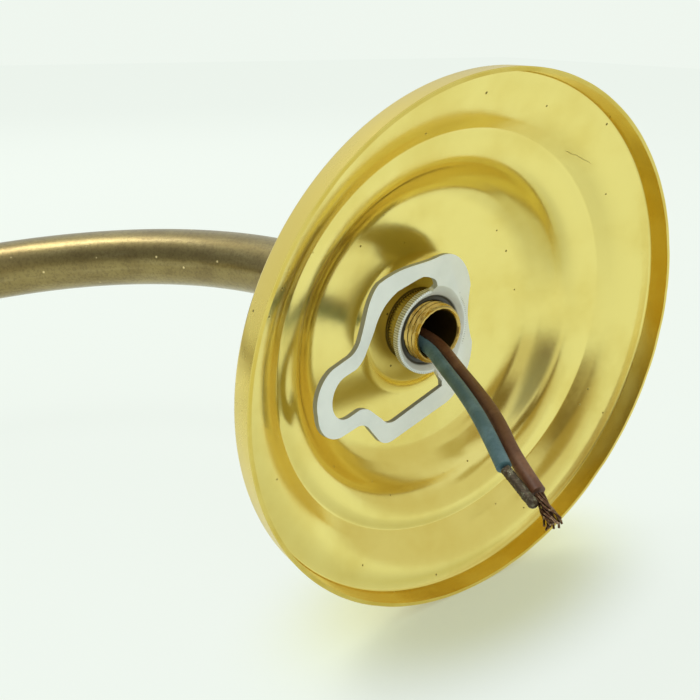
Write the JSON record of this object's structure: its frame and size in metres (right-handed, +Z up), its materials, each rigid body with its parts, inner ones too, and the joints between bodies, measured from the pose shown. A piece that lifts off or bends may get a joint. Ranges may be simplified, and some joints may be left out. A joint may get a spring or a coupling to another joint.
{
  "type": "wall lamp",
  "caption": "Wall lamp with a spun brass canopy, keyhole hanger plate, curved tube arm, tilting knuckle and a small screw lampholder with a turn switch.",
  "frame": {"origin": "centre of the canopy's rim, in the plane of the wall", "axes": "+Y into the wall, +Z up the wall, +X to the right for someone who faces the wall"},
  "size_m": [0.082, 0.1655, 0.228],
  "materials": {
    "canopy_brass": "spun and lacquered, bright inside",
    "arm_brass": "aged satin brass",
    "nut_brass": "turned, knurled edge",
    "zinc_steel": "zinc plated, rolled sheet",
    "thread_brass": "cut thread",
    "holder_brass": "polished and lacquered",
    "socket_ceramic": "pale moulding",
    "liner_card": "pressed fibre",
    "contact_brass": "stamped strip",
    "screw_steel": "zinc plated",
    "key_moulding": "dark pressed moulding",
    "rotor_moulding": "dark moulding",
    "blue_sleeve": "soft extruded plastic",
    "brown_sleeve": "soft extruded plastic",
    "bare_copper": "twisted fine wire",
    "tinned_copper": "dull tinned wire"
  },
  "bodies": {
    "wall_side": {"canopy": "canopy_brass", "lock_nut": "nut_brass", "wall_nipple": "thread_brass", "front_collar": "arm_brass", "arm_tube": "arm_brass", "arm_top_nipple": "thread_brass", "knuckle_base": "arm_brass", "knuckle_washer": "nut_brass", "blue_core_in_arm": "blue_sleeve", "brown_core_in_arm": "brown_sleeve", "blue_lead": "blue_sleeve", "brown_lead": "brown_sleeve", "blue_conductor": "tinned_copper", "brown_strands": "bare_copper"},
    "hanger": {"hanger_plate": "zinc_steel"},
    "head": {"knuckle_head": "arm_brass", "head_nipple": "thread_brass", "holder_cap": "holder_brass", "cap_set_screw": "screw_steel", "holder_shell": "holder_brass", "insulating_liner": "liner_card", "socket_body": "socket_ceramic", "lamp_shell": "contact_brass", "centre_contact": "contact_brass", "side_contact": "contact_brass", "switch_blade": "contact_brass", "terminal_screws": "screw_steel", "blue_core_in_head": "blue_sleeve", "brown_core_in_head": "brown_sleeve"},
    "thumb_screw": {"thumb_screw": "nut_brass"},
    "switch": {"switch_rotor": "rotor_moulding", "switch_shaft": "screw_steel", "switch_key": "key_moulding"},
    "shade_ring": {"shade_ring": "holder_brass"}
  },
  "joints": [
    {"name": "hanger_turn", "type": "hinge", "parent": "wall_side", "child": "hanger", "pos_m": [0, -0.013, 0], "axis": [0, 1, 0], "range_deg": [-180, 180]},
    {"name": "knuckle_tilt", "type": "hinge", "parent": "wall_side", "child": "head", "pos_m": [0, -0.1105, 0.116], "axis": [1, 0, 0], "range_deg": [-90, 90]},
    {"name": "thumb_screw_turn", "type": "hinge", "parent": "wall_side", "child": "thumb_screw", "pos_m": [-0.01, -0.1105, 0.116], "axis": [-1, 0, 0], "range_deg": [0, 360]},
    {"name": "switch_turn", "type": "hinge", "parent": "head", "child": "switch", "pos_m": [0, -0.1105, 0.156], "axis": [0, -1, 0], "continuous": true},
    {"name": "shade_ring_turn", "type": "hinge", "parent": "head", "child": "shade_ring", "pos_m": [0, -0.1105, 0.171], "axis": [0, 0, 1], "range_deg": [0, 360]}
  ]
}
